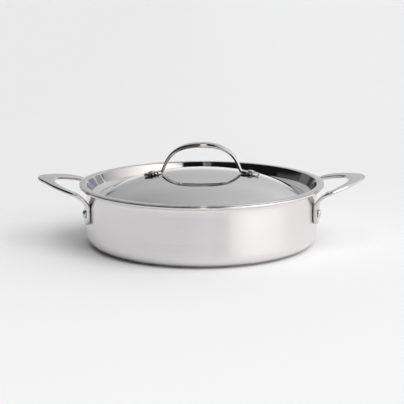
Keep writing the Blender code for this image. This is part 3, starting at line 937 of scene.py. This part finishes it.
begin()
bpy.ops.mesh.primitive_plane_add(size=FLOOR_SIZE)
floor = bpy.context.object
floor.name = "floor"
paper, tree, shader = new_material("floor_paper")
shader.inputs["Roughness"].default_value = PAPER_ROUGHNESS
shader.inputs["Specular IOR Level"].default_value = 0.0
spot = node(tree, "ShaderNodeSeparateXYZ", None, i0=node(tree, "ShaderNodeTexCoord")["Object"])
# Painted shade: the paper's colour is darker towards the back and the left, where a lamp's fall-off would shade it.
painted_shade_to_back = ramp(tree, spot[1], -0.6, 0.4, 0.915, 0.825)
painted_shade_to_left = ramp(tree, spot[0], -0.4, 0.4, 0.965, 1.013)
painted_falloff = node(tree, "ShaderNodeMath", {"operation": "MULTIPLY"}, i0=painted_shade_to_back, i1=painted_shade_to_left)[0]
paper_with_painted_falloff = node(tree, "ShaderNodeVectorMath", {"operation": "SCALE"}, i0=PAPER_TINT, i3=painted_falloff)[0]
tree.links.new(paper_with_painted_falloff, shader.inputs["Base Color"])
floor.data.materials.append(paper)
print("floor", round(floor.dimensions.x), "metres wide")

# %% [markdown]
# ## The room
# Polished steel is a picture of the room round it. This room has a pale back, one wide soft box on the right, and
# dark screens in front and on the left, which draw the black lines that give the metal its edges. A photographer
# sets up lamps and cards. Such panels near the pan would light the table unevenly, so the room is painted on the
# world by direction, and everything in it is as good as far away. Azimuth 0 is in front of the pan and grows to the
# right, and elevation 0 is level.

# %% Directions in the room
world = bpy.data.worlds.new("room")
bpy.context.scene.world = world
world.use_nodes = True
room = world.node_tree
room.nodes.clear()


def maths(operation, *values):
    inputs = {f"i{i}": value for i, value in enumerate(values)}
    return node(room, "ShaderNodeMath", {"operation": operation}, **inputs)[0]


look = node(room, "ShaderNodeTexCoord")["Generated"]
way = node(room, "ShaderNodeSeparateXYZ", None, i0=look)
azimuth = maths("DEGREES", maths("ARCTAN2", way[0], maths("MULTIPLY", way[1], -1.0)))
elevation = maths("DEGREES", maths("ARCSINE", way[2]))


# %% Helpers for painting the room
def between(value, low, high, blur):
    """1 between two angles and 0 outside, with soft edges."""
    soft = {"interpolation_type": "SMOOTHSTEP"}
    start, full = low - blur / 2, low + blur / 2
    rise = node(room, "ShaderNodeMapRange", soft, i0=value, i1=start, i2=full)[0]
    start, gone = high - blur / 2, high + blur / 2
    fall = node(room, "ShaderNodeMapRange", soft, i0=value, i1=start, i2=gone, i3=1.0, i4=0.0)[0]
    return maths("MULTIPLY", rise, fall)


def panel(left, right, low, high, blur):
    """A patch between two azimuths and two elevations."""
    return maths("MULTIPLY", between(azimuth, left, right, blur), between(elevation, low, high, blur))


def paint(level, patch, radiance):
    return node(room, "ShaderNodeMix", {"data_type": "FLOAT"}, i0=patch, i2=level, i3=radiance)[0]


# %% The bare walls
DARKER_LEFT = 0.48
LIGHTER_RIGHT = 0.45

to_left = maths("MULTIPLY", maths("MINIMUM", way[0], 0.0), DARKER_LEFT)
to_right = maths("MULTIPLY", maths("MAXIMUM", way[0], 0.0), LIGHTER_RIGHT)
horizon = ramp(room, way[2], 0.05, 0.15, 0.36, 0.0)
lower_wall = ramp(room, way[2], 0.28, 0.48, 0.635, 0.72)
upper_wall = ramp(room, way[2], 0.48, 0.68, 0.0, -0.06)
upright = maths("ADD", horizon, maths("ADD", lower_wall, upper_wall))
level = maths("ADD", maths("ADD", to_left, to_right), upright)

# %% Cards, screens and the small lamp
slant = maths("MULTIPLY", maths("ADD", azimuth, 114.0), 0.41)
slanted_strip = between(maths("SUBTRACT", elevation, slant), 10, 27.4, 1)
box_fall = ramp(room, azimuth, 70.0, 130.0, 1.6, 0.5)
patches = (
    ("light card low on the left", panel(-125, -92, -10, 2, 8), 1.9),
    ("dark roof", between(elevation, 69, 120, 4), 0.02),
    ("grey post at the back left", panel(-164, -156, -5, 14, 2), 0.25),
    ("dark post beside it", panel(-158, -146, -5, 14, 3), 0.06),
    ("grey card at the back left", panel(-148, -126, -5, 24, 3), 0.17),
    ("cool card at the back right", panel(138, 165, 2, 12, 4), 0.34),
    ("paler card above it", panel(133, 144, 12, 19, 1.5), 0.42),
    ("dark clamp beside that", panel(130, 132.3, 19.4, 21, 0.6), 0.03),
    ("dark screen on the left", panel(-131, -11, -2, 77, 3), 0.010),
    ("dark screen in front", panel(-3, 26, 0, 77, 3), 0.008),
    ("its wider lower half", panel(-12, 27, 0, 35, 3), 0.008),
    ("gap between the screens", panel(-13, -4, 44, 77, 3), 0.18),
    ("small bright lamp in front", panel(-1, 6, 24, 44, 2), 5.0),
    ("slanted strip on the left screen", maths("MULTIPLY", slanted_strip, between(azimuth, -131, -100, 6)), 0.10),
    ("wide soft box", panel(26, 130, 14, 50, 3), box_fall),
    ("bright half of the soft box", panel(26, 68, 14, 50, 5), 1.8),
    ("light card low on the right", panel(38, 86, -8, 15, 20), 2.6),
)
for name, patch, radiance in patches:
    level = paint(level, patch, radiance)
print("the room has", len(patches), "painted patches")

# %% Warm and cool light
NEUTRAL = (1, 1, 1, 1)
WARM = (1.02, 0.99, 0.96, 1)
COOL = (0.92, 1.0, 1.14, 1)
warm_side = maths("MAXIMUM", panel(-14, 125, -10, 90, 20), panel(-131, -100, -10, 30, 10))
warm = node(room, "ShaderNodeMix", {"data_type": "RGBA"}, i0=warm_side, i6=NEUTRAL, i7=WARM)[2]
cool_card = panel(138, 165, 2, 12, 6)
tint = node(room, "ShaderNodeMix", {"data_type": "RGBA"}, i0=cool_card, i6=warm, i7=COOL)[2]
backdrop = node(room, "ShaderNodeBackground", None, i0=tint, i1=level)[0]
node(room, "ShaderNodeOutputWorld", None, i0=backdrop)
print("the room's world has", len(room.nodes), "nodes")

# %% [markdown]
# ## The ceiling light
# The soft shadow under the pan needs a wide lamp overhead. A sun lamp with a large angle is such a lamp without an
# edge: the table stays even, and the angle alone sets how soft the shadow is. It doesn't show in the steel, because
# the painted room is what the steel mirrors.

# %% Ceiling light
CEILING_ANGLE = math.radians(58)
CEILING_STRENGTH = 1.77
CEILING_FROM = Vector((0.17, -0.38, 1.0))

sun_data = bpy.data.lights.new("ceiling", "SUN")
sun_data.angle = CEILING_ANGLE
sun_data.energy = CEILING_STRENGTH
sun = bpy.data.objects.new("ceiling", sun_data)
bpy.context.scene.collection.objects.link(sun)
sun.rotation_euler = CEILING_FROM.to_track_quat("Z", "Y").to_euler()
sun.visible_glossy = False
print("ceiling light of", round(math.degrees(sun_data.angle)), "degrees")

# %% [markdown]
# ## The camera
# The picture was taken from in front, a little above the rim, with a long lens. The camera stands 1.4 metres away.
# It could be placed by eye in the viewport. Here it is aimed by angles that were fitted to the rim and the handles in
# the picture, so that the outline falls where it does there.

# %% Camera
FRAME_PIXELS = 404
FOCAL_PIXELS = 1178.89
HALF_PIXEL = 0.5 / FOCAL_PIXELS
SENSOR = 36.0
AIM = Vector((0, 0, 0.035))
DISTANCE = 1.4
ELEVATION = 0.238708
PAN = 0.000668 - HALF_PIXEL
TILT = 0.008524 + HALF_PIXEL
ROLL = -0.003533


def camera_turn(position):
    """The camera's axes: aimed at the pan's middle, then panned, tilted and rolled by a hair."""
    ahead = (AIM - position).normalized()
    right = ahead.cross(UP).normalized()
    ahead = (ahead + math.tan(PAN) * right + math.tan(TILT) * right.cross(ahead)).normalized()
    right = ahead.cross(UP).normalized()
    above = right.cross(ahead)
    across = math.cos(ROLL) * right + math.sin(ROLL) * above
    above = -math.sin(ROLL) * right + math.cos(ROLL) * above
    return Matrix((across, above, -ahead)).transposed()


position = Vector((0, -DISTANCE * math.cos(ELEVATION), DISTANCE * math.sin(ELEVATION)))
camera_data = bpy.data.cameras.new("camera")
camera_data.sensor_width = SENSOR
camera_data.lens = FOCAL_PIXELS * SENSOR / FRAME_PIXELS
camera = bpy.data.objects.new("camera", camera_data)
bpy.context.scene.collection.objects.link(camera)
camera.matrix_world = Matrix.Translation(position) @ camera_turn(position).to_4x4()
bpy.context.scene.camera = camera
bpy.context.scene.view_settings.view_transform = "Standard"
print("lens", round(camera_data.lens, 2), "mm")
